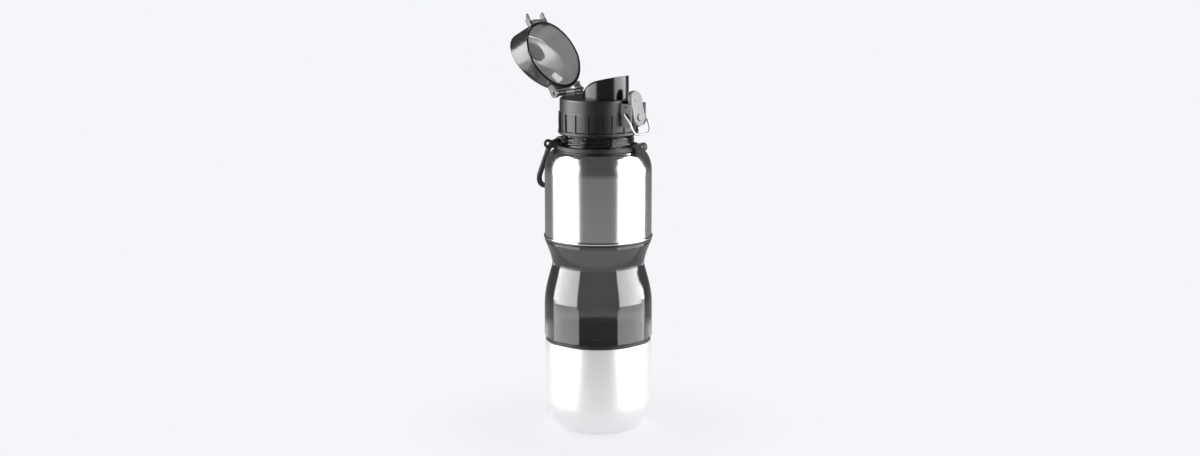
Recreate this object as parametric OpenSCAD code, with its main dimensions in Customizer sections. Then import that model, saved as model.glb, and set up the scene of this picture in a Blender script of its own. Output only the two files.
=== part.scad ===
// Travel water bottle for a dog and its owner.
// The bottle stands on its bowl: the origin is the centre of the bowl's foot, +Z is up,
// +X is the latch side of the cap and -X is the side of the lid's hinge.

/* [Bowl] */
// How far the steel bowl's side lies inside the sleeve's side
bowl_in = 0.1; // [0:0.1:1]
// Height of the steel bowl
bowl_h = 62.5; // [58:0.5:80]
// Thickness of the bowl's steel
bowl_t = 0.8; // [0.5:0.1:1.2]
// Width of the rounded lower corner of the bowl
corner_w = 13; // [6:0.5:16]
// Height of the rounded lower corner of the bowl
corner_h = 21; // [8:0.5:26]
// Height of the threaded ring inside the bowl's mouth
bowl_ring_h = 12.2; // [11:0.1:15]
// Thickness of that ring, without its thread
bowl_ring_t = 2.65; // [2:0.05:3.5]
// Height of the black seal that shows above the bowl
bowl_seal_h = 2.5; // [1.5:0.1:3.5]

/* [Bottle] */
// How far the band just above the bowl stands out from the sleeve's side
band_out = 0.5; // [0:0.1:1.5]
// Height of that straight band
band_h = 22; // [15:0.5:30]
// How far the waist is drawn in from the band
waist_in = 5.5; // [4:0.1:7]
// Height of the flare from the band up to the waist
flare_h = 28.3; // [20:0.1:36]
// Height of the cove from the waist up to the ledge
cove_h = 15.4; // [10:0.1:20]
// How far the ledge under the sleeve lies inside the sleeve's side
ledge_in = 0.4; // [0.2:0.1:1]
// Thickness of the ledge
ledge_h = 1.8; // [1.2:0.1:3]
// Wall thickness of the plastic bottle
wall_t = 1.8; // [1.2:0.1:2.2]
// Outer radius of the neck, without its thread
neck_r = 22.8; // [20:0.1:23]
// Height of the neck above the shoulder
neck_h = 29.6; // [27:0.1:36]
// Length of the foot that screws into the bowl, below the band
foot_h = 16.2; // [14:0.1:20]

/* [Steel sleeve] */
// Outer radius of the sleeve
sleeve_r = 36.5; // [35.5:0.1:39]
// Thickness of the sleeve's steel
sleeve_t = 0.6; // [0.4:0.1:0.8]
// Height of the straight side of the sleeve
side_h = 45.6; // [35:0.1:60]
// Height of the rounded shoulder
shoulder_h = 15; // [10:0.5:18]
// Width of the flat ring on top, from the rounded shoulder to the hole
top_flat = 2.8; // [2:0.1:4]
// Height of the rolled bead at the lower edge
bead_h = 2.2; // [1.4:0.1:3]
// How far the bead stands out from the side
bead_out = 0.8; // [0.4:0.1:1.2]
// Height of the black gasket under the bead
gasket_h = 1.1; // [0.8:0.1:2]

/* [Threads] */
// Rise of the cap's thread in one turn
cap_lead = 5; // [4:0.5:6]
// How far the neck's thread stands out
neck_thread_out = 1.7; // [1:0.1:1.7]
// Rise of the bowl's thread in one turn
bowl_lead = 8; // [7:0.5:10]
// How far the foot's thread stands out
foot_thread_out = 1.4; // [1:0.1:1.5]

/* [Cap] */
// Outer radius of the smooth upper part of the cap
cap_r = 26.2; // [26:0.1:29]
// Overall height of the cap
cap_h = 24.3; // [22:0.1:26]
// Thickness of the cap's roof
cap_roof = 3.65; // [3:0.05:5]
// Thickness of the flat seal under the roof
cap_seal_t = 1.75; // [1.2:0.05:2.5]
// Number of grip ribs
rib_count = 18; // [12:1:24]
// Width of a grip rib
rib_w = 2.2; // [1.4:0.1:3]
// How far a grip rib stands out
rib_out = 0.9; // [0.5:0.1:1.4]
// Height of a grip rib
rib_h = 12.4; // [8:0.1:14]
// Height of the flange under the ribs
flange_h = 2.1; // [1.5:0.1:3]

/* [Spout] */
// Outer radius of the spout
spout_r = 15.9; // [14:0.1:17]
// Distance of the spout's centre from the bottle's axis
spout_x = 5.9; // [4:0.1:7]
// Height of the spout's tip above the cap
spout_h = 15.7; // [13:0.1:17]
// Wall of the spout
spout_t = 1.8; // [1.2:0.1:2.4]
// Slope of the spout's top
spout_slope = 12.4; // [8:0.1:16]
// Radius of the rounded rear of the spout's top
spout_round = 11.5; // [8:0.1:12]
// Distance from the spout's tip to the middle of its flat top
spout_flat = 11.2; // [10:0.1:14]
// Radius of the drinking hole
drink_r = 6; // [4:0.5:7]
// Radius of the passage through the cap's roof
passage_r = 9; // [7:0.5:10]

/* [Lid] */
// Outer radius of the lid
lid_r = 26.1; // [25:0.1:28]
// Distance of the lid's centre from the bottle's axis when it is closed
lid_x = 1; // [0:0.1:2]
// Wall of the lid
lid_t = 1.9; // [1.2:0.1:2.2]
// Height of the lid at its rear
lid_rear_h = 5.8; // [5:0.1:8]
// Slope of the lid's roof
lid_slope = 16.8; // [14:0.1:18]
// Radius of the roof's rounded edge
lid_round = 4; // [3:0.5:6]
// Angle by which the open lid is thrown back
open_angle = 118.5; // [90:0.5:125]
// Length of the two catch prongs
prong_l = 7.1; // [5:0.1:7.5]
// Radius of the soft pad that closes the drinking hole
pad_r = 7.5; // [7:0.1:9]

/* [Hinge] */
// Distance from one end of the hinge to the other
hinge_l = 30.6; // [28:0.1:34]
// Radius of the hinge pin
pin_r = 1; // [0.8:0.05:1.2]
// Outer radius of the lid's two ears
ear_r = 2.8; // [2.4:0.1:2.9]
// Width of each of the lid's ears
ear_w = 2.3; // [1.8:0.1:3]
// Width of the cap's knuckle
knuckle_w = 9.6; // [8:0.1:12]
// Height of the hinge's axis above the cap
hinge_up = 1.7; // [1.5:0.1:2.2]

/* [Latch] */
// Width of the grey button
button_w = 13.4; // [12:0.1:13.4]
// Length of the grey button
button_l = 24.3; // [22:0.1:25]
// Thickness of the grey button
button_t = 1.7; // [1.4:0.1:2]
// Tilt of the lever, with its lower end outward
lever_tilt = 10.6; // [8:0.1:12]
// Thickness of the lever's plate
lever_t = 1; // [0.8:0.1:1.2]
// Thickness of each cheek
cheek_t = 1.8; // [1.4:0.1:2]
// Radius of the bail's wire
wire_r = 0.65; // [0.5:0.05:0.7]
// Length of the bail from its pivot to its end
bail_l = 15.4; // [15:0.1:17]

/* [Carry ring and loop] */
// Outer radius of the neck ring
ring_r = 28; // [27.6:0.1:29]
// Thickness of the neck ring
ring_t = 2.6; // [2:0.1:3]
// Outer radius of the ring's open ears
tab_r = 2.9; // [2.6:0.1:3.1]
// Radius of the hole in each open ear
tab_hole_r = 1.3; // [1:0.1:1.5]
// Radius of the loop's round cord section
loop_r = 1.85; // [1.5:0.05:2]
// Half of the loop's width, to the middle of its section
loop_half_w = 12.2; // [11:0.1:14]
// Length of the loop, to the middle of its section
loop_l = 36; // [32:0.5:42]

/* [Clearances] */
// Gap between pieces that are fixed to each other
fit = 0.05; // [0.02:0.01:0.1]
// Radial gap of a pin in its hole
run = 0.05; // [0.02:0.01:0.09]
// Gap between pieces that move past each other
play = 0.3; // [0.2:0.05:0.4]
// Gap between the crests of the neck's thread and a ring that is put over it
thread_play = 0.7; // [0.5:0.05:1]

/* [Hidden] */
$fn = 96;
big = 200;
eps = 0.01;

// Radii of the body, from the sleeve's
bowl_r = sleeve_r - bowl_in;
band_r = sleeve_r + band_out;
waist_r = band_r - waist_in;
ledge_r = sleeve_r - ledge_in;
sleeve_hole_r = neck_r + neck_thread_out + thread_play;
shoulder_w = sleeve_r - sleeve_hole_r - top_flat;
ring_bore_r = bowl_r - bowl_t - fit - bowl_ring_t;
foot_r = ring_bore_r - play - foot_thread_out;
cap_bore_r = neck_r + neck_thread_out + 0.4;

// Levels, from the foot upwards
seal_z = bowl_h + fit;
band_z = seal_z + bowl_seal_h + fit;
flare_z = band_z + band_h;
waist_z = flare_z + flare_h;
ledge_z = waist_z + cove_h;
gasket_z = ledge_z + ledge_h + fit;
sleeve_z = gasket_z + gasket_h + fit;
shoulder_z = sleeve_z + side_h;
collar_z = shoulder_z + shoulder_h;
lip_z = collar_z + neck_h;
cap_seal_z = lip_z + fit;
roof_z = cap_seal_z + cap_seal_t + fit;
cap_top = roof_z + cap_roof;
cap_z = cap_top - cap_h;
foot_z = band_z - foot_h;

// Sections of the two threads: half widths at root and crest
thread_root = 0.26;
thread_crest = 0.13;
thread_bite = 0.35;
cap_pitch = cap_lead / 2;
bowl_pitch = bowl_lead / 2;
neck_thread_z = collar_z + 3.9;
foot_thread_z = foot_z + 3;

// Hinge and latch places
rear_x = lid_x - lid_r + 2.1;
hinge_x = rear_x - 3;
hinge_z = cap_top + hinge_up;
rim_z = cap_top + play;
pivot_x = cap_r + 3.6;
pivot_z = cap_top - 4.2;
bail_x = cap_r + 3.4;
bail_z = cap_top - 8.9;
prong_in = button_w / 2 + 0.6;
prong_t = 1.8;
cheek_in = button_w / 2 + play;
cheek_out = cheek_in + cheek_t;
bail_half = cheek_out + 0.5 + wire_r;

// Bail: directions of its legs above and below the knee as it hangs, distance of the knee from the
// pivot, radius of its corners, and the swing that brings it over the prongs
bail_top_a = -52;
bail_low_a = -70;
bail_knee = 7.6;
bail_corner = 5;
bail_shut = 140;
bend_swell = 0.03;

// Distance below the knee of a corner's arc of radius r, at y from the middle of the bail
function bail_arc(y, r) = bail_l - bail_knee - bail_corner
                          + sqrt(max(0, r * r - pow(y - bail_half + bail_corner, 2)));

// Radius about the pivot that stays clear of the wire's inner side there
function bail_inside(y) = let (s = bail_arc(y, bail_corner - wire_r - 0.1))
    norm([bail_knee + s * cos(bail_low_a - bail_top_a), s * sin(bail_low_a - bail_top_a)]);
bail_seat_x = bail_x + bail_knee * cos(bail_top_a + bail_shut)
              + bail_arc(prong_in + prong_t, bail_corner) * cos(bail_low_a + bail_shut) - wire_r - 0.3;

// A straight round rod from one point to another
module rod(from, to, r) {
    v = to - from;
    length = norm(v);
    translate(from) rotate([0, acos(v.z / length), atan2(v.y, v.x)]) cylinder(r = r, h = length);
}

// A bar along Y, centred on y = 0
module cross_bar(x, z, r, l) {
    translate([x, l / 2, z]) rotate([90, 0, 0]) cylinder(r = r, h = l);
}

// A flat outline in X and Z, made l thick and centred on y = 0
module slab(l) {
    translate([0, l / 2, 0]) rotate([90, 0, 0]) linear_extrude(l) children();
}

// A tube of six sides along a list of points, with both ends closed.
// Each ring lies in the plane that holds the direction "up" and is square to the path.
function unit(v) = v / norm(v);
function along(p, i) = unit(p[min(i + 1, len(p) - 1)] - p[max(i - 1, 0)]);
module tube(path, r, up, sides = 6) {
    rings = len(path);
    points = [for (i = [0 : rings - 1])
        let (t = along(path, i), a = unit(up - t * (up * t)), b = cross(t, a))
        for (k = [0 : sides - 1]) path[i] + r * (a * cos(360 * k / sides) + b * sin(360 * k / sides))];
    skin = [for (i = [0 : rings - 2]) for (k = [0 : sides - 1])
        let (n = (k + 1) % sides, p = i * sides, q = p + sides)
        each [[p + k, q + k, q + n], [p + k, q + n, p + n]]];
    first = [for (k = [1 : sides - 2]) [0, k, k + 1]];
    last_ring = (rings - 1) * sides;
    last = [for (k = [1 : sides - 2]) [last_ring, last_ring + k + 1, last_ring + k]];
    polyhedron(points = points, faces = concat(first, skin, last));
}

// A screw coil about Z that starts at z = 0: curls turns that fill the length,
// with a straight end one wire thick at both ends, square to the coil's first radius
coil_rings = 8;
function coil_path(r, wire, curls, length) =
    let (steps = curls * coil_rings, rise = (length - 2 * wire) / steps)
    concat([[r, -2 * wire, wire]],
           [for (i = [0 : steps]) [r * cos(360 * i / coil_rings), r * sin(360 * i / coil_rings), wire + rise * i]],
           [[r, 2 * wire, length - wire]]);
function coil_gap(wire, curls, length) = (length - 2 * wire) / curls - 2 * wire;
module coil(r, wire, curls, length) {
    tube(coil_path(r, wire, curls, length), wire, [0, 0, 1]);
}

// One ridge of a screw thread. It runs from z0 upwards for the given turns, its root lies
// at root_r and its crest at crest_r, and it thins out over the first and last steps.
thread_steps = 36;
module ridge(root_r, crest_r, pitch, lead, z0, turns, start) {
    steps = round(turns * thread_steps);
    wide = pitch * thread_root;
    thin = pitch * thread_crest;
    points = [for (i = [0 : steps])
        let (a = start + 360 * i / thread_steps, z = z0 + lead * i / thread_steps,
             f = min(1, min(i, steps - i) / 3 + 0.15), c = root_r + (crest_r - root_r) * f)
        each [[root_r * cos(a), root_r * sin(a), z - wide],
              [root_r * cos(a), root_r * sin(a), z + wide],
              [c * cos(a), c * sin(a), z + wide + (thin - wide) * f],
              [c * cos(a), c * sin(a), z - wide - (thin - wide) * f]]];
    skin = [for (i = [0 : steps - 1]) for (k = [0 : 3])
        let (n = (k + 1) % 4, p = i * 4, q = p + 4)
        each [[p + k, p + n, q + n], [p + k, q + n, q + k]]];
    last_ring = steps * 4;
    ends = [[0, 2, 1], [0, 3, 2], [last_ring, last_ring + 1, last_ring + 2],
            [last_ring, last_ring + 2, last_ring + 3]];
    outward = crest_r > root_r;
    polyhedron(points = points,
               faces = outward ? [for (f = concat(skin, ends)) [f[0], f[2], f[1]]] : concat(skin, ends));
}

// Two ridges, half a turn apart
module thread(root_r, crest_r, pitch, lead, z0, turns) {
    for (start = [0, 180]) ridge(root_r, crest_r, pitch, lead, z0, turns, start);
}

// Outline of the exposed bottle between the band and the ledge, at a height between 0 and 1
function flare_at(s) = waist_r + (band_r - waist_r) * pow(sin(90 * s), 1.1);
function cove_at(s) = waist_r + (ledge_r - waist_r) * pow(s, 1.5);
flare_steps = 12;
cove_steps = 10;
function waist_line(inset) = concat(
    [for (i = [0 : flare_steps]) let (s = i / flare_steps) [flare_at(1 - s) - inset, flare_z + flare_h * s]],
    [for (i = [1 : cove_steps]) let (s = i / cove_steps) [cove_at(s) - inset, waist_z + cove_h * s]]);

// Quarter of an ellipse from the straight side up to the flat top of the shoulder
shoulder_steps = 12;
function shoulder_line(inset) = [for (i = [0 : shoulder_steps])
    let (a = 90 * i / shoulder_steps)
    [sleeve_r - shoulder_w + (shoulder_w - inset) * cos(a), shoulder_z + (shoulder_h - inset) * sin(a)]];

module inner_bottle() {
    inside = sleeve_t + fit;
    bore = neck_r - 2;
    foot_edge = 1;
    band_edge = 0.5;
    outer = concat(
        [[0, foot_z], [foot_r - foot_edge, foot_z], [foot_r, foot_z + foot_edge], [foot_r, band_z],
         [band_r - band_edge, band_z], [band_r, band_z + band_edge]],
        waist_line(0),
        [[ledge_r, ledge_z + ledge_h], [sleeve_r - inside, ledge_z + ledge_h]],
        shoulder_line(inside),
        [[neck_r, collar_z - inside], [neck_r, lip_z - 0.4], [neck_r - 0.4, lip_z], [bore, lip_z]]);
    skin = inside + wall_t;
    inner = concat(
        [[bore, collar_z - skin]],
        [for (i = [shoulder_steps : -1 : 0]) shoulder_line(skin)[i]],
        [[sleeve_r - skin, ledge_z + ledge_h]],
        [for (i = [flare_steps + cove_steps : -1 : 0]) waist_line(wall_t)[i]],
        [[band_r - wall_t, band_z + 4], [foot_r - wall_t, band_z + 1.2],
         [foot_r - wall_t, foot_z + wall_t + 3], [foot_r - wall_t - 3, foot_z + wall_t], [0, foot_z + wall_t]]);
    color([0.42, 0.43, 0.45, 0.7]) union() {
        rotate_extrude() polygon(concat(outer, inner));
        thread(neck_r - thread_bite, neck_r + neck_thread_out, cap_pitch, cap_lead, neck_thread_z, 3.4);
        thread(foot_r - thread_bite, foot_r + foot_thread_out, bowl_pitch, bowl_lead, foot_thread_z, 1);
    }
}

module steel_sleeve() {
    bead_r = bead_h / 2;
    outer = concat([[sleeve_r, sleeve_z]], shoulder_line(0), [[sleeve_hole_r, collar_z]]);
    inner = concat([[sleeve_hole_r, collar_z - sleeve_t]],
                   [for (i = [shoulder_steps : -1 : 0]) shoulder_line(sleeve_t)[i]],
                   [[sleeve_r - sleeve_t, sleeve_z]]);
    color([0.78, 0.78, 0.8]) rotate_extrude() union() {
        polygon(concat(outer, inner));
        difference() {
            translate([sleeve_r + bead_out - bead_r, sleeve_z + bead_r]) circle(r = bead_r, $fn = 32);
            translate([0, sleeve_z - bead_h]) square([sleeve_r - sleeve_t + eps, 3 * bead_h]);
        }
    }
}

// A plain ring between two radii and two levels
module ring(inner, outer, z, h) {
    translate([0, 0, z]) difference() {
        cylinder(r = outer, h = h);
        translate([0, 0, -1]) cylinder(r = inner, h = h + 2);
    }
}

module sleeve_gasket() {
    color([0.05, 0.05, 0.05]) ring(sleeve_r - sleeve_t, sleeve_r + 0.3, gasket_z, gasket_h);
}

// Quarter of an ellipse from the bowl's flat foot up to its straight side
corner_steps = 12;
function bowl_corner(inset) = [for (i = [0 : corner_steps])
    let (a = -90 + 90 * i / corner_steps)
    [bowl_r - corner_w + (corner_w - inset) * cos(a), corner_h + (corner_h - inset) * sin(a)]];
module dog_bowl() {
    color([0.86, 0.86, 0.87]) rotate_extrude()
        polygon(concat([[0, 0]], bowl_corner(0),
                       [[bowl_r, bowl_h - 0.3], [bowl_r - 0.3, bowl_h], [bowl_r - bowl_t, bowl_h]],
                       [for (i = [corner_steps : -1 : 0]) bowl_corner(bowl_t)[i]], [[0, bowl_t]]));
}

module bowl_thread_ring() {
    color([0.07, 0.07, 0.07]) union() {
        ring(ring_bore_r, bowl_r - bowl_t - fit, bowl_h - bowl_ring_h, bowl_ring_h);
        thread(ring_bore_r + thread_bite, foot_r + 0.25, bowl_pitch, bowl_lead, foot_thread_z + bowl_pitch / 2, 0.6);
    }
}

module bowl_seal() {
    color([0.05, 0.05, 0.05]) ring(ring_bore_r, bowl_r - 0.3, seal_z, bowl_seal_h);
}

// Outline of a latch cheek, seen from the side
module cheek_outline() {
    low_r = 4.4;
    depth = 12;
    edge = 3.7;
    translate([pivot_x + edge - low_r, pivot_z - depth + low_r - 1.7]) circle(r = low_r);
    translate([cap_r - 1, pivot_z - depth + low_r - 1.7]) square([pivot_x + edge - cap_r + 1, depth - low_r + 3.8]);
    translate([cap_r - 1, pivot_z - depth + 2]) square([3, depth]);
}

module screw_cap() {
    edge = 1.3;
    wall_r = cap_r + 0.1;
    flange_r = cap_r + rib_out + 0.25;
    rib_z = cap_z + flange_h;
    color([0.1, 0.1, 0.1]) difference() {
        union() {
            rotate_extrude() polygon([
                [0, roof_z], [cap_bore_r, roof_z], [cap_bore_r, cap_z], [flange_r - 0.6, cap_z],
                [flange_r, cap_z + 0.6], [flange_r, rib_z], [wall_r, rib_z + 0.7], [wall_r, rib_z + rib_h],
                [cap_r, rib_z + rib_h + 0.4], [cap_r, cap_top - edge], [cap_r - 0.4, cap_top - 0.4],
                [cap_r - edge, cap_top], [0, cap_top]]);
            for (i = [0 : rib_count - 1]) rotate([0, 0, 360 * (i + 0.5) / rib_count])
                translate([cap_bore_r + 0.5, -rib_w / 2, cap_z + 0.8])
                    cube([cap_r + rib_out - cap_bore_r - 0.5, rib_w, rib_z + rib_h - cap_z - 0.8]);
            thread(cap_bore_r + thread_bite, neck_r + 0.5, cap_pitch, cap_lead, neck_thread_z + 3.5 * cap_pitch, 1.2);
            for (side = [-1, 1]) translate([0, side * (cheek_in + cheek_t / 2), 0]) slab(cheek_t) cheek_outline();
            cross_bar(hinge_x, hinge_z, pin_r + 1.25, knuckle_w);
            slab(knuckle_w) polygon([
                [hinge_x - pin_r - 1, hinge_z], [hinge_x - pin_r - 1, hinge_z - 1.2], [1 - cap_r, cap_top - 6],
                [1 - cap_r, roof_z + 0.3], [4 - cap_r, roof_z + 0.3], [4 - cap_r, cap_top - 0.2],
                [hinge_x + 2, cap_top - 0.2], [hinge_x + 2, hinge_z - 0.5]]);
        }
        // The bore for the spout's stem
        translate([spout_x, 0, roof_z - 1]) cylinder(r = passage_r + 2 + fit, h = cap_roof + 2);
        cross_bar(hinge_x, hinge_z, pin_r + run, hinge_l);
        cross_bar(pivot_x, pivot_z, pin_r + run, big / 2);
        cross_bar(bail_x, bail_z, wire_r + run, big / 2);
        // Clear the inside, where the knuckle and the bores would reach it
        translate([0, 0, cap_z - 1]) cylinder(r = neck_r + 0.4, h = roof_z - cap_z + 1);
    }
}

module cap_seal() {
    color([0.75, 0.75, 0.75]) ring(neck_r - 3.2, cap_bore_r - 0.4, cap_seal_z, cap_seal_t);
}

// The spout's top is a sloping disc with a wide round edge. The disc reaches past the tip,
// so the edge shows at the rear and the sides only. Drawn again "inset" smaller for the hollow.
slope_n = [-sin(lid_slope), cos(lid_slope)];
tip = [spout_x + spout_r, cap_top + spout_h];
spout_d = [cos(spout_slope), sin(spout_slope)];
flat_at = tip - spout_d * spout_flat;
flat_r = 2 * spout_r / cos(spout_slope) - spout_flat;
drink_at = tip - spout_d * (spout_r - 4.5);
module spout_body(inset) {
    corner_x = flat_r - spout_round;
    intersection() {
        translate([spout_x, 0, cap_top + fit]) cylinder(r = spout_r - inset, h = 2 * spout_h);
        translate([flat_at.x, 0, flat_at.y]) rotate([0, -spout_slope, 0]) rotate_extrude() union() {
            translate([corner_x, -spout_round]) intersection() {
                circle(r = spout_round - inset);
                translate([-eps, -eps]) square(spout_round);
            }
            translate([0, -big]) square([corner_x, big - inset]);
            translate([0, -big]) square([flat_r - inset, big - spout_round]);
        }
    }
}

module spout() {
    floor_z = cap_top + fit;
    color([0.03, 0.03, 0.03]) difference() {
        union() {
            spout_body(0);
            translate([spout_x, 0, roof_z + 0.2]) cylinder(r = passage_r + 2, h = cap_roof);
        }
        intersection() {
            translate([spout_x, 0, floor_z + 1.2]) cylinder(r = spout_r, h = 2 * spout_h);
            spout_body(spout_t);
        }
        translate([spout_x, 0, roof_z - 1]) cylinder(r = passage_r, h = cap_roof + 4);
        translate([drink_at.x, 0, drink_at.y]) rotate([0, -spout_slope, 0])
            translate([0, 0, -4]) cylinder(r = drink_r, h = 8);
    }
}

module hinge_pin() {
    color([0.75, 0.75, 0.77]) cross_bar(hinge_x, hinge_z, pin_r, hinge_l + 0.4);
}

spring_wire = 0.3;
spring_r = pin_r + 0.4 + spring_wire;
spring_curls = 6;
spring_room = hinge_l / 2 - ear_w - knuckle_w / 2;
spring_l = spring_room - 2 * play;
module hinge_spring(side) {
    middle = knuckle_w / 2 + spring_room / 2;
    color([0.7, 0.7, 0.72]) translate([hinge_x, side * middle + spring_l / 2, hinge_z])
        rotate([90, 90, 0]) coil(spring_r, spring_wire, spring_curls, spring_l);
}

// The lid as it lies when it is closed
module lid_body(inset) {
    rear = lid_x - lid_r;
    corner_r = lid_round - inset;
    puck_r = lid_r + 0.6 - inset;
    top = [lid_x, rim_z + lid_rear_h + lid_r * tan(lid_slope)] - slope_n * inset;
    intersection() {
        translate([lid_x, 0, rim_z - 1]) cylinder(r = lid_r - inset, h = big);
        translate([rear_x + inset, -big / 2, rim_z - (inset > 0 ? 1 : 0)]) cube(big);
        translate([top.x, 0, top.y]) rotate([0, -lid_slope, 0]) rotate_extrude() union() {
            translate([puck_r - corner_r, -corner_r]) circle(r = corner_r);
            translate([0, -big]) square([puck_r - corner_r, big]);
            translate([0, -big]) square([puck_r, big - corner_r]);
        }
    }
}

module lid_closed() {
    ear_y = hinge_l / 2 - ear_w / 2;
    ear_root_x = lid_x - sqrt(lid_r * lid_r - ear_y * ear_y) + 1.5;
    front = lid_x + lid_r;
    prong_z = rim_z + 1.4;
    prong_h = 3.4;
    difference() {
        union() {
            difference() {
                lid_body(0);
                lid_body(lid_t);
            }
            for (side = [-1, 1]) translate([0, side * ear_y, 0]) {
                slab(ear_w) {
                    translate([hinge_x, hinge_z]) circle(r = ear_r);
                    polygon([[hinge_x, hinge_z + ear_r], [hinge_x, rim_z], [ear_root_x, rim_z], [ear_root_x, hinge_z + ear_r]]);
                }
            }
            for (side = [-1, 1]) intersection() {
                translate([0, side * (prong_in + prong_t / 2), 0]) slab(prong_t)
                    polygon([[front - 2.6, prong_z], [front + prong_l - 0.4, prong_z], [front + prong_l, prong_z + 0.4],
                             [front + prong_l - 1.8, prong_z + prong_h], [front - 2.6, prong_z + prong_h]]);
                // Each tip has a seat, over which a round corner of the bail passes and in which it then lies
                union() {
                    translate([bail_seat_x - big, -big / 2, cap_z]) cube(big);
                    translate([bail_x, side * prong_in, bail_z]) rotate([-90 * side, 0, 0])
                        cylinder(r1 = bail_inside(prong_in), r2 = bail_inside(prong_in + prong_t), h = prong_t);
                }
            }
            slab(2 * prong_in + 1) polygon([[front - lid_t, rim_z], [front + 1.6, rim_z], [front + 1.6, rim_z + 1.8],
                                            [front + 0.9, rim_z + 2.2], [front - lid_t, rim_z + 2.2]]);
        }
        cross_bar(hinge_x, hinge_z, pin_r + run, hinge_l + 4);
        // Keep the prongs' roots out of the hollow
        intersection() {
            translate([lid_x, 0, rim_z - 5]) cylinder(r = lid_r - lid_t, h = big);
            lid_body(lid_t);
        }
    }
}

// Turns what is drawn closed into its open place
module opened() {
    translate([hinge_x, 0, hinge_z]) rotate([0, -open_angle, 0]) translate([-hinge_x, 0, -hinge_z]) children();
}

module flip_lid() {
    color([0.4, 0.4, 0.42, 0.6]) opened() lid_closed();
}

// The pad fills the wedge between the lid's roof and the spout's top, over the drinking hole
module lid_seal() {
    roof_at = [lid_x, rim_z + lid_rear_h + lid_r * tan(lid_slope)] - slope_n * (lid_t + fit);
    color([0.55, 0.55, 0.57, 0.7]) opened() intersection() {
        translate([drink_at.x, 0, drink_at.y]) rotate([0, -spout_slope, 0])
            translate([0, 0, play]) cylinder(r = pad_r, h = spout_h);
        translate([roof_at.x, 0, roof_at.y]) rotate([0, -lid_slope, 0])
            translate([-big / 2, -big / 2, -big]) cube(big);
    }
}

// The lever's own frame: its pin is the origin, Z runs up its plate and X points outward
module lever_frame() {
    translate([pivot_x, 0, pivot_z]) rotate([0, -lever_tilt, 0]) children();
}

lever_back = 0.45;
face_back = lever_back + lever_t + fit;
button_up = 10.4;
module latch_lever() {
    half = button_w / 2 - 0.4;
    hook_z = 7.3;
    color([0.06, 0.06, 0.06]) lever_frame() difference() {
        union() {
            translate([lever_back, -half, half - button_l + button_up]) cube([lever_t, 2 * half, button_l - 2 * half + 0.2]);
            for (z = [button_up - half, half - button_l + button_up])
                translate([lever_back, 0, z]) rotate([0, 90, 0]) cylinder(r = half, h = lever_t);
            translate([0, -half, -pin_r - 1.3]) cube([lever_back + 0.1, 2 * half, 2 * pin_r + 2.6]);
            intersection() {
                cross_bar(0, 0, pin_r + 1.3, 2 * half);
                translate([-big, -big / 2, -big / 2]) cube([big + lever_back + lever_t, big, big]);
            }
            slab(9) polygon([[lever_back + 0.2, hook_z], [-0.3, hook_z], [-0.5, hook_z + 0.8],
                             [0.2, hook_z + 2.4], [lever_back + 0.2, hook_z + 2.7]]);
        }
        cross_bar(0, 0, pin_r + run, big);
    }
}

// Oval face of the button, with a raised dot and a small ridge
module latch_button() {
    half = button_w / 2;
    dot_z = -8;
    color([0.55, 0.56, 0.57]) lever_frame() {
        for (z = [button_up - half, half - button_l + button_up])
            translate([face_back, 0, z]) rotate([0, 90, 0]) cylinder(r1 = half, r2 = half - 0.5, h = button_t);
        slab_h = button_l - 2 * half;
        translate([face_back, 0, half - button_l + button_up]) linear_extrude(slab_h)
            polygon([[0, -half], [button_t, 0.5 - half], [button_t, half - 0.5], [0, half]]);
        translate([face_back + button_t, 0, dot_z]) rotate([0, 90, 0]) cylinder(r1 = 2.5, r2 = 2.1, h = 0.7);
        translate([face_back + button_t - 0.2, -2, 3.2]) cube([0.6, 4, 1]);
    }
}

module latch_pin() {
    color([0.3, 0.3, 0.3]) cross_bar(pivot_x, pivot_z, pin_r, 2 * cheek_out - 0.4);
}

// The small spring reaches from the wall of the cap to the back of the lever
latch_wire = 0.28;
latch_coil_r = 1.7;
latch_curls = 4;
spring_down = 9.2;
function latch_spring_at() = [cap_r + 0.1, pivot_z - spring_down];
module latch_spring() {
    at = latch_spring_at();
    reach = pivot_x + spring_down * tan(lever_tilt) + lever_back - at.x - latch_coil_r * tan(lever_tilt) - 0.2;
    color([0.7, 0.7, 0.72]) translate([at.x + fit, 0, at.y]) rotate([0, 90, 0])
        coil(latch_coil_r, latch_wire, latch_curls, reach - fit);
}

// The bail hangs with its end outward, against the button's lower end.
// Its legs are bent at a knee, and its far end is a bar with two round corners.
module bail_wire() {
    knee = [bail_knee * cos(bail_top_a), bail_knee * sin(bail_top_a)];
    rest = bail_l - bail_knee;
    leg = rest - bail_corner;
    color([0.8, 0.8, 0.82]) translate([bail_x, 0, bail_z]) {
        for (side = [-1, 1]) {
            y = side * bail_half;
            rod([0, side * (cheek_in + 0.2), 0], [0, y, 0], wire_r);
            translate([0, y, 0]) sphere(r = wire_r + bend_swell, $fn = 24);
            rod([0, y, 0], [knee.x, y, knee.y], wire_r);
            translate([knee.x, y, knee.y]) sphere(r = wire_r + bend_swell, $fn = 24);
        }
        translate([knee.x, 0, knee.y]) rotate([0, -bail_low_a, 0]) {
            for (side = [-1, 1]) {
                rod([0, side * bail_half, 0], [leg, side * bail_half, 0], wire_r);
                translate([leg, side * (bail_half - bail_corner), 0]) rotate([0, 0, side > 0 ? 0 : -90])
                    rotate_extrude(angle = 90) translate([bail_corner, 0]) circle(r = wire_r, $fn = 24);
            }
            rod([rest, bail_corner - bail_half, 0], [rest, bail_half - bail_corner, 0], wire_r);
        }
    }
}

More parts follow.
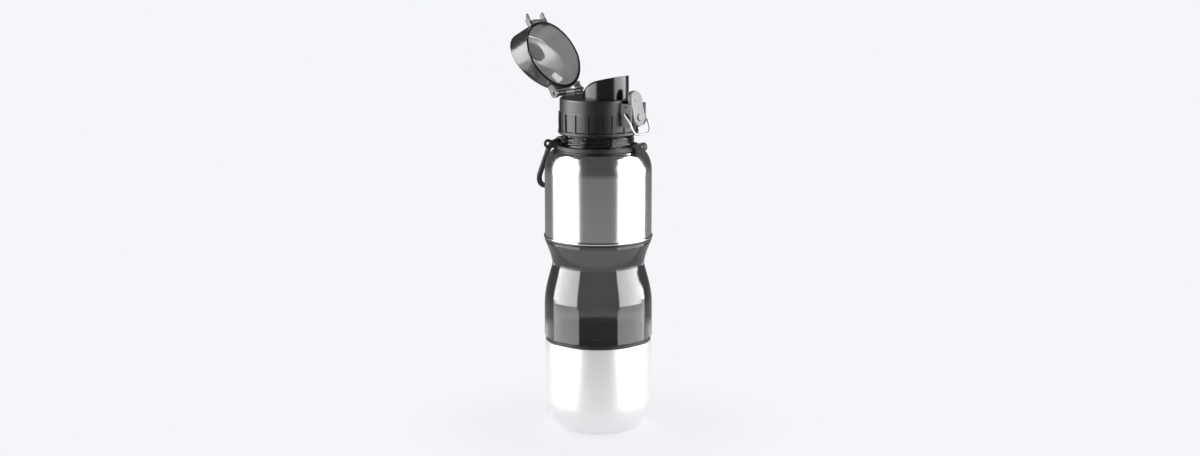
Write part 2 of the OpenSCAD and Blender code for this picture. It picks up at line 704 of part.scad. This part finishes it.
ring_z = collar_z + 0.25;
ring_bore = sleeve_hole_r + 0.1;
tab_x = ring_r + 6;
tab_z = ring_z + ring_t / 2 + 1.85;
tab_angles = [217, 7];
lug_angle = 177;
lug_x = sleeve_r - 4.3;
lug_z = ring_z + ring_t / 2 + 1.45;
lug_r = loop_r + 1.3;
lug_w = 8;
tab_w = 4;
module neck_ring() {
    color([0.06, 0.06, 0.06]) difference() {
        union() {
            ring(ring_bore, ring_r, ring_z, ring_t);
            for (a = tab_angles) rotate([0, 0, a]) {
                cross_bar(tab_x, tab_z, tab_r, tab_w);
                slab(tab_w) polygon([[ring_bore + 0.8, ring_z], [ring_r, ring_z], [tab_x - 1.2, tab_z - tab_r + 0.35],
                                     [tab_x, tab_z], [tab_x - 0.6, tab_z + tab_r - 0.2], [ring_bore + 0.8, ring_z + ring_t + 1.2]]);
            }
            rotate([0, 0, lug_angle]) {
                cross_bar(lug_x, lug_z, lug_r, lug_w);
                slab(lug_w) polygon([[ring_bore + 0.8, ring_z], [ring_r, ring_z], [lug_x - 1, lug_z - lug_r + 0.2],
                                     [lug_x, lug_z + lug_r], [ring_bore + 0.8, ring_z + ring_t]]);
            }
        }
        for (a = tab_angles) rotate([0, 0, a]) cross_bar(tab_x, tab_z, tab_hole_r, 3 * tab_w);
        rotate([0, 0, lug_angle]) cross_bar(lug_x, lug_z, loop_r + run, 3 * lug_w);
        translate([0, 0, ring_z - 1]) cylinder(r = ring_bore, h = 12);
    }
}

// The loop hangs from its straight bar in the lug and leans out over the shoulder.
// In its own frame the bar is the origin, Y runs along it and -Z runs down the loop.
loop_lean = 24;
module carry_loop() {
    top_r = 6;
    side_l = loop_l - top_r - loop_half_w;
    color([0.05, 0.05, 0.05]) rotate([0, 0, lug_angle]) translate([lug_x, 0, lug_z]) rotate([0, -loop_lean, 0]) {
        cross_bar(0, 0, loop_r, 2 * (loop_half_w - top_r));
        for (side = [-1, 1]) {
            translate([0, side * (loop_half_w - top_r), -top_r]) rotate([0, 90, 0]) rotate([0, 0, side > 0 ? 90 : 180])
                rotate_extrude(angle = 90) translate([top_r, 0]) circle(r = loop_r, $fn = 32);
            translate([0, side * loop_half_w, -top_r - side_l]) cylinder(r = loop_r, h = side_l);
        }
        translate([0, 0, -top_r - side_l]) rotate([0, 90, 0]) rotate([0, 0, -90])
            rotate_extrude(angle = 180) translate([loop_half_w, 0]) circle(r = loop_r, $fn = 32);
    }
}

echo(hinge_coil_gap = coil_gap(spring_wire, spring_curls, spring_l));
echo(latch_coil_gap = coil_gap(latch_wire, latch_curls, 5));

inner_bottle();
steel_sleeve();
sleeve_gasket();
dog_bowl();
bowl_thread_ring();
bowl_seal();
screw_cap();
cap_seal();
spout();
hinge_pin();
hinge_spring(-1);  // hinge_spring_near
hinge_spring(1);  // hinge_spring_far
flip_lid();
lid_seal();
latch_lever();
latch_button();
latch_pin();
latch_spring();
bail_wire();
neck_ring();
carry_loop();
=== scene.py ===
"""Travel water bottle for a dog: materials, wire coils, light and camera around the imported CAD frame.

Everything is in metres. +X is the latch side of the cap, -X the side of the lid's hinge, +Z is up.
"""
import bpy
import math
import numpy as np
from mathutils import Matrix, Vector


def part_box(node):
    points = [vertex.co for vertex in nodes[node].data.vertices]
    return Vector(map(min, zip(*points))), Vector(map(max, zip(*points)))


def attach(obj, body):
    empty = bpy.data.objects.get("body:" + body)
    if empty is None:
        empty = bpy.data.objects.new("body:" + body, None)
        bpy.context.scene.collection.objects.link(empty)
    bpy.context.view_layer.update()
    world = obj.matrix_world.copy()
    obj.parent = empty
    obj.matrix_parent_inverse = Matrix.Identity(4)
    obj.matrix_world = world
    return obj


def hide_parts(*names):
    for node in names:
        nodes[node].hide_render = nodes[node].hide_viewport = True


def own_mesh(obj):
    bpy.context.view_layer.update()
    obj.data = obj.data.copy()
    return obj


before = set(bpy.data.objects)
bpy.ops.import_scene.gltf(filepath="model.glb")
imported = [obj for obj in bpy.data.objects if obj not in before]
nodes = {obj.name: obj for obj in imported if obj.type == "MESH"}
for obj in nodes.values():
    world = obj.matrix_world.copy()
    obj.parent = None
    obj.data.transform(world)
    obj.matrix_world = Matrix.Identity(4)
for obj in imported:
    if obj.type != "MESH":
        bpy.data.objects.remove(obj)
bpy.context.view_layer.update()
scene = bpy.context.scene
MM = 0.001

# Places that the finishes and the coils share: the hinge's axis, and the closed lid's axis and radius.
HINGE = Vector((-26.0, 0, 231.2)) * MM
LID_OPEN = math.radians(118.5)
LID_X, LID_R = 1.0 * MM, 26.1 * MM
# The springs: the radius of their coils, and the share of the latch coil's length that is left when pressed.
COIL_R, LATCH_COIL_KEEP = 1.7 * MM, 0.45
# The foot of the neck, and a crest and the pitch of its thread.
NECK_Z, THREAD_Z, THREAD_PITCH = 196.5 * MM, 200.8 * MM, 2.5 * MM

# The camera of the photograph.
VIEW_AZIMUTH = math.radians(37)
CAMERA_DISTANCE = 1.17
CAMERA_HEIGHT = 0.3575
toward_camera = Vector((math.sin(VIEW_AZIMUTH), -math.cos(VIEW_AZIMUTH), 0))
picture_right = Vector((math.cos(VIEW_AZIMUTH), math.sin(VIEW_AZIMUTH), 0))
lens = bpy.data.cameras.new("photo_camera")
lens.sensor_width = 36
lens.lens = 52.11
lens.clip_start = 0.05
lens.clip_end = 60
camera = bpy.data.objects.new("photo_camera", lens)
camera.location = toward_camera * CAMERA_DISTANCE + Vector((0, 0, CAMERA_HEIGHT))
aim = Vector((0, 0, 0.1395)) + picture_right * 0.0012
camera.rotation_euler = (aim - camera.location).to_track_quat("-Z", "Y").to_euler()
scene.collection.objects.link(camera)
scene.camera = camera


# Small helpers.
def srgb(hex_code):
    """An sRGB colour written as hex becomes linear light: ((c + 0.055) / 1.055) ** 2.4."""
    c = np.array([int(hex_code[i:i + 2], 16) for i in (1, 3, 5)]) / 255
    return (*np.where(c <= 0.04045, c / 12.92, ((c + 0.055) / 1.055) ** 2.4).tolist(), 1.0)


def add(tree, kind, inputs=None, **settings):
    """Adds one node. A value in inputs is set on that socket, and a socket in inputs is linked to it."""
    node = tree.nodes.new(kind)
    for name, value in settings.items():
        setattr(node, name, value)
    for name, value in (inputs or {}).items():
        socket = node.inputs[name]
        if isinstance(value, bpy.types.NodeSocket):
            tree.links.new(value, socket)
        else:
            socket.default_value = value
    return node


def material(name, slot_name):
    """An empty node material with an output, and the record's slot that it stands for."""
    made = bpy.data.materials.new(name)
    made.use_nodes = True
    made.node_tree.nodes.clear()
    made["slot"] = slot_name
    return made, made.node_tree


def finish_material(tree, shader):
    """Links the shader to the surface output."""
    add(tree, "ShaderNodeOutputMaterial", {"Surface": shader})


def object_pattern(tree, kind, scale, stretch=(1, 1, 1), **inputs):
    """A texture on Object coordinates, stretched by a Mapping node. Scale is in cycles per metre."""
    place = add(tree, "ShaderNodeTexCoord").outputs["Object"]
    mapped = add(tree, "ShaderNodeMapping", {"Vector": place, "Scale": stretch})
    return add(tree, kind, {"Vector": mapped.outputs["Vector"], "Scale": scale, **inputs})


def dress(names, made):
    """Gives a finish to CAD nodes that keep their own mesh."""
    for name in names:
        node = nodes[name]
        for place in node.material_slots:
            place.material = made


def piece_from(name, points, faces, made, body, *stands_for):
    """Makes a mesh piece from arrays of points and faces, shades it smooth, and lets it ride on a body."""
    mesh = bpy.data.meshes.new(name)
    mesh.from_pydata(points.tolist(), [], faces)
    mesh.polygons.foreach_set("use_smooth", np.ones(len(mesh.polygons), bool))
    mesh.materials.append(made)
    piece = bpy.data.objects.new(name, mesh)
    scene.collection.objects.link(piece)
    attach(piece, body)
    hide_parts(*stands_for)
    return piece


# Finishes.
def smoke_plastic(name, slot_name, tint, density, ripple, solid=None):
    """Smoke copolyester, moulded in a polished tool: glossy, and dyed through, so a thin wall is clear grey
    and an edge seen along its wall is nearly black. Density is the share of light that the dye takes, per
    metre. Slow ripples in the gloss show where the plastic flowed. Solid is the tint of the solid lugs
    outside the lid's round wall, which look darker than the wall."""
    made, tree = material(name, slot_name)
    flow = object_pattern(tree, "ShaderNodeTexNoise", 38, (1, 1, 0.35), Detail=1.5)
    bump = add(tree, "ShaderNodeBump", {"Height": flow.outputs["Fac"], "Strength": ripple, "Distance": 0.0004})
    haze = object_pattern(tree, "ShaderNodeTexNoise", 900, (1, 1, 0.2), Detail=3)
    rough = add(tree, "ShaderNodeMapRange", {"Value": haze.outputs["Fac"], "To Min": 0.01, "To Max": 0.045})
    shader = add(tree, "ShaderNodeBsdfPrincipled", {
        "Base Color": tint, "Roughness": rough.outputs["Result"], "IOR": 1.56,
        "Transmission Weight": 1.0, "Normal": bump.outputs["Normal"]})
    if solid:
        # The open lid's points, turned shut about the hinge and measured from the lid's own axis.
        turn = Matrix.Rotation(LID_OPEN, 3, "Y")
        shut = add(tree, "ShaderNodeMapping", {
            "Vector": add(tree, "ShaderNodeTexCoord").outputs["Object"], "Rotation": (0, LID_OPEN, 0),
            "Location": HINGE - turn @ HINGE - Vector((LID_X, 0, 0))})
        flat = add(tree, "ShaderNodeVectorMath", {
            0: shut.outputs["Vector"], 1: (1, 1, 0)}, operation="MULTIPLY")
        reach = add(tree, "ShaderNodeVectorMath", {0: flat.outputs["Vector"]}, operation="LENGTH")
        outside = add(tree, "ShaderNodeMapRange", {"Value": reach.outputs["Value"], "From Min": LID_R + 0.0001,
                                                   "From Max": LID_R + 0.0005})
        mixed = add(tree, "ShaderNodeMix", {"Factor": outside.outputs["Result"], "A": tint, "B": solid},
                    data_type="RGBA")
        tree.links.new(mixed.outputs["Result"], shader.inputs["Base Color"])
        # The outside of the lid's wall is a little duller than its inside, where the tool's core was polished.
        worn = add(tree, "ShaderNodeMapRange", {"Value": reach.outputs["Value"], "From Min": LID_R - 0.0006,
                                                "From Max": LID_R - 0.0003, "To Max": 0.2})
        dull = add(tree, "ShaderNodeMath", {
            0: rough.outputs["Result"], 1: worn.outputs["Result"]}, operation="ADD")
        tree.links.new(dull.outputs["Value"], shader.inputs["Roughness"])
    else:
        # Round flanks beside the crests of the neck's thread, which rises 5 mm in a turn and has two starts.
        spot = add(tree, "ShaderNodeSeparateXYZ", {"Vector": add(tree, "ShaderNodeTexCoord").outputs["Object"]})
        angle = add(tree, "ShaderNodeMath", {0: spot.outputs["Y"], 1: spot.outputs["X"]}, operation="ARCTAN2")
        rise = add(tree, "ShaderNodeMath", {
            0: angle.outputs["Value"], 1: -2.0, 2: -THREAD_Z * math.tau / THREAD_PITCH},
            operation="MULTIPLY_ADD")
        wave = add(tree, "ShaderNodeMath", {
            0: spot.outputs["Z"], 1: math.tau / THREAD_PITCH, 2: rise.outputs["Value"]},
            operation="MULTIPLY_ADD")
        crest = add(tree, "ShaderNodeMath", {0: wave.outputs["Value"]}, operation="COSINE")
        neck = add(tree, "ShaderNodeMapRange", {
            "Value": spot.outputs["Z"], "From Min": NECK_Z, "From Max": NECK_Z + 0.001})
        ridge = add(tree, "ShaderNodeMath", {
            0: crest.outputs["Value"], 1: neck.outputs["Result"]}, operation="MULTIPLY")
        round_bump = add(tree, "ShaderNodeBump", {
            "Height": ridge.outputs["Value"], "Strength": 1.0, "Distance": 0.0003,
            "Normal": bump.outputs["Normal"]})
        tree.links.new(round_bump.outputs["Normal"], shader.inputs["Normal"])
    dye = add(tree, "ShaderNodeVolumeAbsorption", {"Color": srgb("#0c0c0d"), "Density": density})
    add(tree, "ShaderNodeOutputMaterial", {"Surface": shader.outputs["BSDF"], "Volume": dye.outputs["Volume"]})
    return made


def brushed_stainless(name, slot_name, pale, dark, low, high, bite, metallic=1.0):
    """Drawn 304 stainless, brushed while it turned: hair-fine lines run round the bottle, so its
    highlights spread up and down and stay crisp from side to side. The real lines are about 0.05 mm
    apart and are drawn 0.25 mm apart so that they show."""
    made, tree = material(name, slot_name)
    hair = object_pattern(tree, "ShaderNodeTexNoise", 40, (1, 1, 100), Detail=3)
    cloud = object_pattern(tree, "ShaderNodeTexNoise", 45, (1, 1, 0.6), Detail=2)
    colour = add(tree, "ShaderNodeMix", {"Factor": hair.outputs["Fac"], "A": dark, "B": pale}, data_type="RGBA")
    shade = add(tree, "ShaderNodeMath", {0: hair.outputs["Fac"], 1: cloud.outputs["Fac"]}, operation="ADD")
    rough = add(tree, "ShaderNodeMapRange", {"Value": shade.outputs["Value"], "From Min": 0.6, "From Max": 1.4,
                                             "To Min": low, "To Max": high})
    bump = add(tree, "ShaderNodeBump", {"Height": hair.outputs["Fac"], "Strength": bite, "Distance": 0.00006})
    shader = add(tree, "ShaderNodeBsdfPrincipled", {
        "Base Color": colour.outputs["Result"], "Metallic": metallic, "Roughness": rough.outputs["Result"],
        "Normal": bump.outputs["Normal"]})
    finish_material(tree, shader.outputs["BSDF"])
    return made


def moulded(name, slot_name, pale, dark, low, high, grain_mm, bite, ior=1.5):
    """A moulded plastic or rubber. The grain of the mould is grain_mm wide, and the colour and the gloss
    vary a little over the surface where hands have polished it."""
    made, tree = material(name, slot_name)
    grain = object_pattern(tree, "ShaderNodeTexNoise", 1000 / grain_mm / 2, Detail=2)
    wear = object_pattern(tree, "ShaderNodeTexNoise", 120, Detail=4)
    colour = add(tree, "ShaderNodeMix", {"Factor": wear.outputs["Fac"], "A": dark, "B": pale}, data_type="RGBA")
    rough = add(tree, "ShaderNodeMapRange", {"Value": wear.outputs["Fac"], "From Min": 0.3, "From Max": 0.7,
                                             "To Min": low, "To Max": high})
    bump = add(tree, "ShaderNodeBump", {"Height": grain.outputs["Fac"], "Strength": bite, "Distance": 0.00008})
    shader = add(tree, "ShaderNodeBsdfPrincipled", {
        "Base Color": colour.outputs["Result"], "Roughness": rough.outputs["Result"], "IOR": ior,
        "Normal": bump.outputs["Normal"]})
    finish_material(tree, shader.outputs["BSDF"])
    return made


def drawn_wire(name, slot_name, pale, dark, low, high):
    """Stainless spring wire, drawn bright through a die, with faint lengthwise haze."""
    made, tree = material(name, slot_name)
    haze = object_pattern(tree, "ShaderNodeTexNoise", 700, Detail=2)
    colour = add(tree, "ShaderNodeMix", {"Factor": haze.outputs["Fac"], "A": dark, "B": pale}, data_type="RGBA")
    rough = add(tree, "ShaderNodeMapRange", {"Value": haze.outputs["Fac"], "To Min": low, "To Max": high})
    shader = add(tree, "ShaderNodeBsdfPrincipled", {
        "Base Color": colour.outputs["Result"], "Metallic": 1.0, "Roughness": rough.outputs["Result"]})
    finish_material(tree, shader.outputs["BSDF"])
    return made


def clear_silicone(name, slot_name, tint, density):
    """Clear silicone rubber, pressed in a satin mould: see-through, with a soft milky gloss."""
    made, tree = material(name, slot_name)
    cloud = object_pattern(tree, "ShaderNodeTexNoise", 300, Detail=3)
    rough = add(tree, "ShaderNodeMapRange", {"Value": cloud.outputs["Fac"], "To Min": 0.08, "To Max": 0.22})
    shader = add(tree, "ShaderNodeBsdfPrincipled", {
        "Base Color": tint, "Roughness": rough.outputs["Result"], "IOR": 1.41, "Transmission Weight": 1.0})
    milk = add(tree, "ShaderNodeVolumeAbsorption", {"Color": srgb("#808080"), "Density": density})
    add(tree, "ShaderNodeOutputMaterial", {"Surface": shader.outputs["BSDF"], "Volume": milk.outputs["Volume"]})
    return made


smoke_body = smoke_plastic("smoke_copolyester_bottle", "smoke_plastic", srgb("#e6e6e6"), 600.0, 0.25)
smoke_lid = smoke_plastic("smoke_copolyester_lid", "lid_plastic", srgb("#e6e6e6"), 590.0, 0.12, srgb("#6a6a6b"))
sleeve_steel = brushed_stainless("brushed_stainless_sleeve", "sleeve_steel", srgb("#d6d6d5"), srgb("#bebebd"),
                                 0.13, 0.21, 0.25)
# The bowl's near-white colour, with only about half of it metal, is painted light: it makes the bowl look
# brightly lit, where bare stainless steel is greyer.
bowl_steel = brushed_stainless("satin_stainless_bowl_painted_bright", "bowl_steel", srgb("#fbfbfb"), srgb("#efefef"),
                               0.26, 0.36, 0.15, 0.55)
cap_black = moulded("black_polypropylene_cap", "black_satin", srgb("#191919"), srgb("#101010"),
                    0.36, 0.46, 0.25, 0.12)
spout_black = moulded("black_polypropylene_polished", "black_gloss", srgb("#1a1a1b"), srgb("#121213"),
                      0.14, 0.20, 0.8, 0.05)
ring_black = moulded("black_nylon_ring", "black_satin", srgb("#161616"), srgb("#0f0f0f"), 0.46, 0.6, 0.35, 0.35)
rubber_black = moulded("black_thermoplastic_rubber", "black_rubber", srgb("#1a1a1a"), srgb("#101010"),
                       0.5, 0.68, 0.4, 0.4, 1.45)
button_grey = moulded("grey_polypropylene_button", "grey_plastic", srgb("#818283"), srgb("#6f7071"),
                      0.36, 0.48, 0.35, 0.25)
seal_white = moulded("white_silicone_seal", "white_silicone", srgb("#dcdcda"), srgb("#cfcfcd"),
                     0.4, 0.5, 0.4, 0.2, 1.41)
bright_wire = drawn_wire("bright_stainless_wire", "wire_steel", srgb("#a8a8a8"), srgb("#8c8c8c"), 0.12, 0.26)
# The springs' dark colour is painted shade: they are the same stainless wire as the bail, darkened for the
# shade that falls on them inside the hinge and the latch.
coil_wire_painted_shade = drawn_wire("spring_steel_painted_shade", "wire_steel", srgb("#6e6e6e"), srgb("#4c4c4c"), 0.18, 0.32)
# The pins' near-black colour is painted shade: plain steel pins, darkened for the shade in the hinge's and the
# latch's holes.
pin_steel_painted_shade = drawn_wire("steel_pin_painted_shade", "wire_steel", srgb("#2c2c2d"), srgb("#1c1c1d"), 0.3, 0.45)
seal_clear = clear_silicone("clear_silicone_pad", "clear_silicone", srgb("#e2e2e2"), 60.0)

for made, names in (
        (smoke_body, ["inner_bottle"]), (smoke_lid, ["flip_lid"]), (sleeve_steel, ["steel_sleeve"]),
        (bowl_steel, ["dog_bowl"]), (cap_black, ["screw_cap", "latch_lever", "bowl_thread_ring"]),
        (ring_black, ["neck_ring"]), (spout_black, ["spout"]),
        (rubber_black, ["sleeve_gasket", "bowl_seal", "carry_loop"]), (button_grey, ["latch_button"]),
        (seal_white, ["cap_seal"]), (seal_clear, ["lid_seal"]), (bright_wire, ["bail_wire"]),
        (pin_steel_painted_shade, ["hinge_pin", "latch_pin"])):
    dress(names, made)


# Wire coils.
def swept(path, radius, sides):
    """A round wire: at each point of the path a circle of the given radius stands square to the path,
    in the frame of the tangent, a steady side direction and their cross product. Both ends are closed."""
    tangent = np.gradient(path, axis=0)
    tangent /= np.linalg.norm(tangent, axis=1, keepdims=True)
    up = np.array([0.0, 1.0, 0.0]) if abs(tangent[:, 1]).max() < 0.9 else np.array([1.0, 0.0, 0.0])
    side = np.cross(tangent, up)
    side /= np.linalg.norm(side, axis=1, keepdims=True)
    over = np.cross(tangent, side)
    turn = 2 * np.pi * np.arange(sides) / sides
    rings = path[:, None] + radius * (side[:, None] * np.cos(turn)[None, :, None]
                                      + over[:, None] * np.sin(turn)[None, :, None])
    count = len(path)
    i, k = np.meshgrid(np.arange(count - 1), np.arange(sides), indexing="ij")
    n = (k + 1) % sides
    quads = np.stack([i * sides + k, (i + 1) * sides + k, (i + 1) * sides + n, i * sides + n], -1)
    quads = quads.reshape(-1, 4)
    points = np.concatenate([rings.reshape(-1, 3), path[:1], path[-1:]])
    first, last = count * sides, count * sides + 1
    a = np.arange(sides)
    start = np.stack([np.full(sides, first), a, (a + 1) % sides], -1)
    stop = np.stack([np.full(sides, last), (count - 1) * sides + (a + 1) % sides, (count - 1) * sides + a], -1)
    return points, quads, np.concatenate([start, stop])


def wire_coil(name, centre, axis, across, coil_r, wire_r, curls, length, body, stands_for):
    """A screw coil: at turn t its wire is at coil_r round the axis and at t / curls of the length."""
    t = np.linspace(0, curls, curls * 36 + 1)
    a = 2 * np.pi * t
    third = np.cross(axis, across)
    path = (centre + np.outer(coil_r * np.cos(a), across) + np.outer(coil_r * np.sin(a), third)
            + np.outer((t / curls - 0.5) * (length - 2 * wire_r), axis))
    points, quads, ends = swept(path, wire_r, 10)
    return piece_from(name, points, quads.tolist() + ends.tolist(), coil_wire_painted_shade, body, stands_for)


for node_name in ("hinge_spring_near", "hinge_spring_far"):
    low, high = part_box(node_name)
    middle = np.array([HINGE.x, (low.y + high.y) / 2, HINGE.z])
    wire_coil("coil_" + node_name, middle, np.array([0, 1.0, 0]), np.array([1.0, 0, 0]), COIL_R, 0.3 * MM, 6,
              high.y - low.y, "cap", node_name)
low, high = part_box("latch_spring")
latch_coil = wire_coil("coil_latch_spring", np.array([(low.x + high.x) / 2, 0, (low.z + high.z) / 2]),
                       np.array([1.0, 0, 0]), np.array([0, 0, 1.0]), COIL_R, 0.28 * MM, 4, high.x - low.x,
                       "cap", "latch_spring")
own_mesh(latch_coil)

# The studio. What gloss sees of the soft boxes low down, in the middle, high up, and high up at their outer
# sides; what matt surfaces get from the boxes and from the rest of the room; and what gloss sees of the dim
# room low down and high up.
PAPER = srgb("#f5f6f9")
BOX_LOW, BOX_MIDDLE, BOX_HIGH, BOX_SIDE = 4.5, 3.0, 8.5, 12.0
BOX_PLAIN, FILL = 1.4, 0.5
ROOM_LOW, ROOM_HIGH = 0.48, 0.10
FLOOR_R, FLOOR_RINGS, FLOOR_SIDES = 0.2, 24, 96


def paper_floor():
    """A round sheet of pale paper 0.2 mm under the bottle: flat rings whose radius grows evenly from the
    middle out. Near the bottle it is partly matt, so a faint shadow shows, and at its rim it is as pale as
    the background."""
    rings = np.linspace(0, FLOOR_R, FLOOR_RINGS + 1)[1:]
    turn = 2 * np.pi * np.arange(FLOOR_SIDES) / FLOOR_SIDES
    grid = np.stack([np.outer(rings, np.cos(turn)), np.outer(rings, np.sin(turn)),
                     np.zeros((FLOOR_RINGS, FLOOR_SIDES))], -1)
    points = np.concatenate([[[0, 0, 0]], grid.reshape(-1, 3)]) - np.array([0, 0, 0.2 * MM])

    def spot(ring, side):
        return 1 + ring * FLOOR_SIDES + side % FLOOR_SIDES

    inner = [[0, spot(0, a), spot(0, a + 1)] for a in range(FLOOR_SIDES)]
    outer = [[spot(r, a), spot(r + 1, a), spot(r + 1, a + 1), spot(r, a + 1)]
             for r in range(FLOOR_RINGS - 1) for a in range(FLOOR_SIDES)]
    mesh = bpy.data.meshes.new("paper_floor")
    mesh.from_pydata(points.tolist(), [], inner + outer)
    floor = bpy.data.objects.new("paper_floor", mesh)
    scene.collection.objects.link(floor)
    made, tree = material("pale_paper", "")
    place = add(tree, "ShaderNodeTexCoord").outputs["Object"]
    reach = add(tree, "ShaderNodeVectorMath", {0: place}, operation="LENGTH").outputs["Value"]
    edge = add(tree, "ShaderNodeMapRange", {"Value": reach, "From Min": 0.04, "From Max": 0.14, "To Min": 0.75,
                                            "To Max": 1.0}, interpolation_type="SMOOTHSTEP").outputs["Result"]
    matt = add(tree, "ShaderNodeBsdfDiffuse", {"Color": PAPER})
    glow = add(tree, "ShaderNodeEmission", {"Color": PAPER, "Strength": 1.0})
    mixed = add(tree, "ShaderNodeMixShader", {
        "Fac": edge, 1: matt.outputs["BSDF"], 2: glow.outputs["Emission"]})
    path = add(tree, "ShaderNodeLightPath").outputs
    seen = add(tree, "ShaderNodeMath", {
        0: path["Is Camera Ray"], 1: path["Is Glossy Ray"]}, operation="MAXIMUM")
    seen = add(tree, "ShaderNodeMath", {
        0: seen.outputs["Value"], 1: path["Is Transmission Ray"]}, operation="MAXIMUM")
    split = add(tree, "ShaderNodeMixShader", {"Fac": seen.outputs["Value"], 1: matt.outputs["BSDF"],
                                              2: mixed.outputs["Shader"]})
    finish_material(tree, split.outputs["Shader"])
    mesh.materials.append(made)


def studio_world():
    """The room, by direction. Two tall soft boxes stand left and right of the camera's line, from about 42 to
    110 degrees round from it, and the rest is a dim room. Matt surfaces get the plain level of light. Gloss
    sees the boxes brighter, as a shiny surface shows the lamps themselves, and the camera sees pale paper."""
    world = bpy.data.worlds.new("soft_box_studio")
    world.use_nodes = True
    tree = world.node_tree
    tree.nodes.clear()
    way = add(tree, "ShaderNodeTexCoord").outputs["Generated"]
    turned = add(tree, "ShaderNodeVectorRotate", {"Vector": way, "Angle": math.radians(90) - VIEW_AZIMUTH},
                 rotation_type="Z_AXIS").outputs["Vector"]
    part = add(tree, "ShaderNodeSeparateXYZ", {"Vector": turned}).outputs
    aside = add(tree, "ShaderNodeMath", {0: part["Y"]}, operation="ABSOLUTE").outputs["Value"]
    round_angle = add(tree, "ShaderNodeMath", {0: aside, 1: part["X"]}, operation="ARCTAN2").outputs["Value"]
    height = part["Z"]

    def ramp(value, start, stop, low=0.0, high=1.0):
        return add(tree, "ShaderNodeMapRange", {
            "Value": value, "From Min": start, "From Max": stop, "To Min": low, "To Max": high},
            interpolation_type="SMOOTHSTEP").outputs["Result"]

    def sums(operation, a, b):
        return add(tree, "ShaderNodeMath", {0: a, 1: b}, operation=operation).outputs["Value"]

    # The boxes' inner edges lean apart high up, and stand a little further apart at the sleeve's height.
    lean = sums("ADD", ramp(height, 0.3, 0.8, 0, math.radians(18)),
                ramp(height, -0.178, -0.165, 0, math.radians(4)))
    box = ramp(sums("SUBTRACT", round_angle, lean), math.radians(40), math.radians(44))
    # Low down the right box is wider, and a thin skirt of light runs on behind both.
    wider = sums("MULTIPLY", ramp(part["Y"], -0.01, 0.01, 0, math.radians(7)), ramp(height, 0.1, 0.0))
    outer = ramp(sums("SUBTRACT", round_angle, wider), math.radians(114), math.radians(107))
    skirt = sums("MULTIPLY", ramp(height, -0.232, -0.240, 0, 0.3), ramp(height, -0.262, -0.254))
    skirt = sums("MULTIPLY", skirt, ramp(round_angle, math.radians(165), math.radians(155)))
    box = sums("MULTIPLY", box, sums("MAXIMUM", outer, skirt))
    box = sums("MULTIPLY", box, ramp(height, -0.40, -0.30))
    box = sums("MULTIPLY", box, ramp(height, 0.80, 0.70))
    # How bright gloss sees the boxes at each height, and what matt surfaces get.
    above = sums("MULTIPLY", ramp(height, -0.112, -0.08), ramp(round_angle, math.radians(42), math.radians(100),
                                                               BOX_HIGH - BOX_MIDDLE, BOX_SIDE - BOX_MIDDLE))
    shine = sums("ADD", ramp(height, -0.27, -0.20, BOX_LOW, BOX_MIDDLE), above)
    bright = sums("MULTIPLY", box, shine)
    room = ramp(height, -0.34, -0.02, ROOM_LOW, ROOM_HIGH)
    plain = sums("ADD", sums("MULTIPLY", box, BOX_PLAIN), FILL)
    path = add(tree, "ShaderNodeLightPath").outputs
    level = add(tree, "ShaderNodeMix", {
        "Factor": path["Is Glossy Ray"], "A": plain, "B": sums("ADD", bright, room)},
        data_type="FLOAT").outputs["Result"]
    studio = add(tree, "ShaderNodeBackground", {"Color": (1, 1, 1, 1), "Strength": level})
    paper = add(tree, "ShaderNodeBackground", {"Color": PAPER, "Strength": 1.0})
    seen = sums("MAXIMUM", path["Is Camera Ray"], path["Is Transmission Ray"])
    both = add(tree, "ShaderNodeMixShader", {"Fac": seen, 1: studio.outputs["Background"],
                                             2: paper.outputs["Background"]})
    add(tree, "ShaderNodeOutputWorld", {"Surface": both.outputs["Shader"]})
    scene.world = world


def glint_lamp(name, place, toward, along, length, width, watts):
    """A small strip lamp behind the bottle, whose mirror image shows on the inside of the open lid's roof."""
    strip = bpy.data.lights.new(name, "AREA")
    strip.shape = "RECTANGLE"
    strip.size, strip.size_y = length, width
    strip.energy = watts
    lamp = bpy.data.objects.new(name, strip)
    back = -Vector(toward).normalized()
    side = Vector(along).normalized()
    lamp.matrix_world = Matrix.Translation(place) @ Matrix((side, back.cross(side), back)).transposed().to_4x4()
    lamp.visible_camera = False
    scene.collection.objects.link(lamp)


paper_floor()
studio_world()
glint_lamp("high_strip", (-0.0199, 0.4050, 0.5708), (-0.0738, -0.7780, -0.6239), (-0.5599, 0.5500, -0.6197),
           0.0240, 0.0141, 0.15)
glint_lamp("low_strip", (0.0034, 0.4040, 0.5509), (-0.0879, -0.7825, -0.6164), (-0.6457, 0.5159, -0.5630),
           0.0182, 0.0099, 0.0025)
scene.view_settings.view_transform = "Standard"
